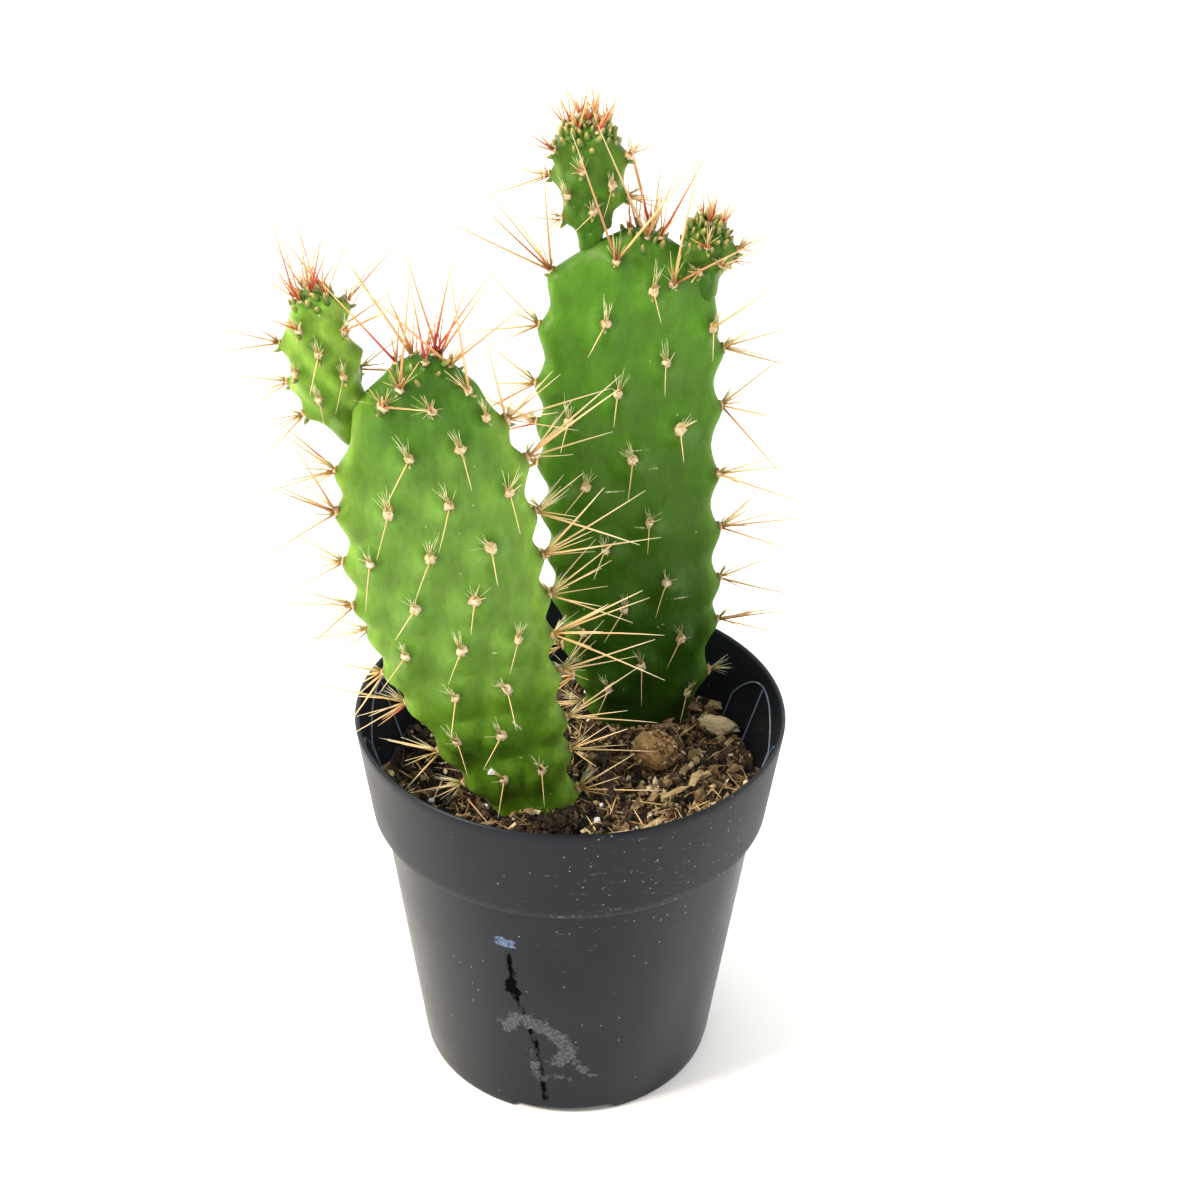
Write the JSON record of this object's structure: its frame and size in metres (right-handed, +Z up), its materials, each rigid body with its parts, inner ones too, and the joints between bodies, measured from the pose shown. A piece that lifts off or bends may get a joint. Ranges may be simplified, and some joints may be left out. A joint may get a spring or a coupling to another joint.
{
  "type": "potted opuntia",
  "caption": "potted opuntia cactus: flat spiny pads with young shoots at their tips, rooted in soil in a tapered black plastic nursery pot with a stepped collar",
  "frame": {"origin": "the middle of the pot's flat underside, on the pot's own axis", "axes": "+Z is up; -Y is the side that the picture looks at; +X is to the right in the picture, and both pads stand nearly in the XZ plane"},
  "size_m": [0.1358, 0.105, 0.2454],
  "materials": {
    "pot_plastic": "black moulded plastic with a satin sheen, dusty on the collar, with a few scuffs and pale specks",
    "soil": "loose dark brown potting mix of bark, peat and fibres, with pale grit",
    "pad_light_green": "waxy light green skin, with woolly beige areoles and straw-yellow spines",
    "pad_deep_green": "waxy deep green skin, with woolly beige areoles and straw-yellow spines",
    "young_green": "fresh green skin with crowded areoles, and spines that are red at the tip of the shoot",
    "tan_lump": "rough tan clay granule",
    "pale_chip": "pale dry bark"
  },
  "bodies": {
    "root": {"pot": "pot_plastic", "soil": "soil", "pad_front": "pad_light_green", "young_pad_front": "young_green", "pad_back": "pad_deep_green", "young_pad_back": "young_green", "bud_back": "young_green", "soil_lump": "tan_lump", "bark_chip": "pale_chip"}
  },
  "joints": []
}
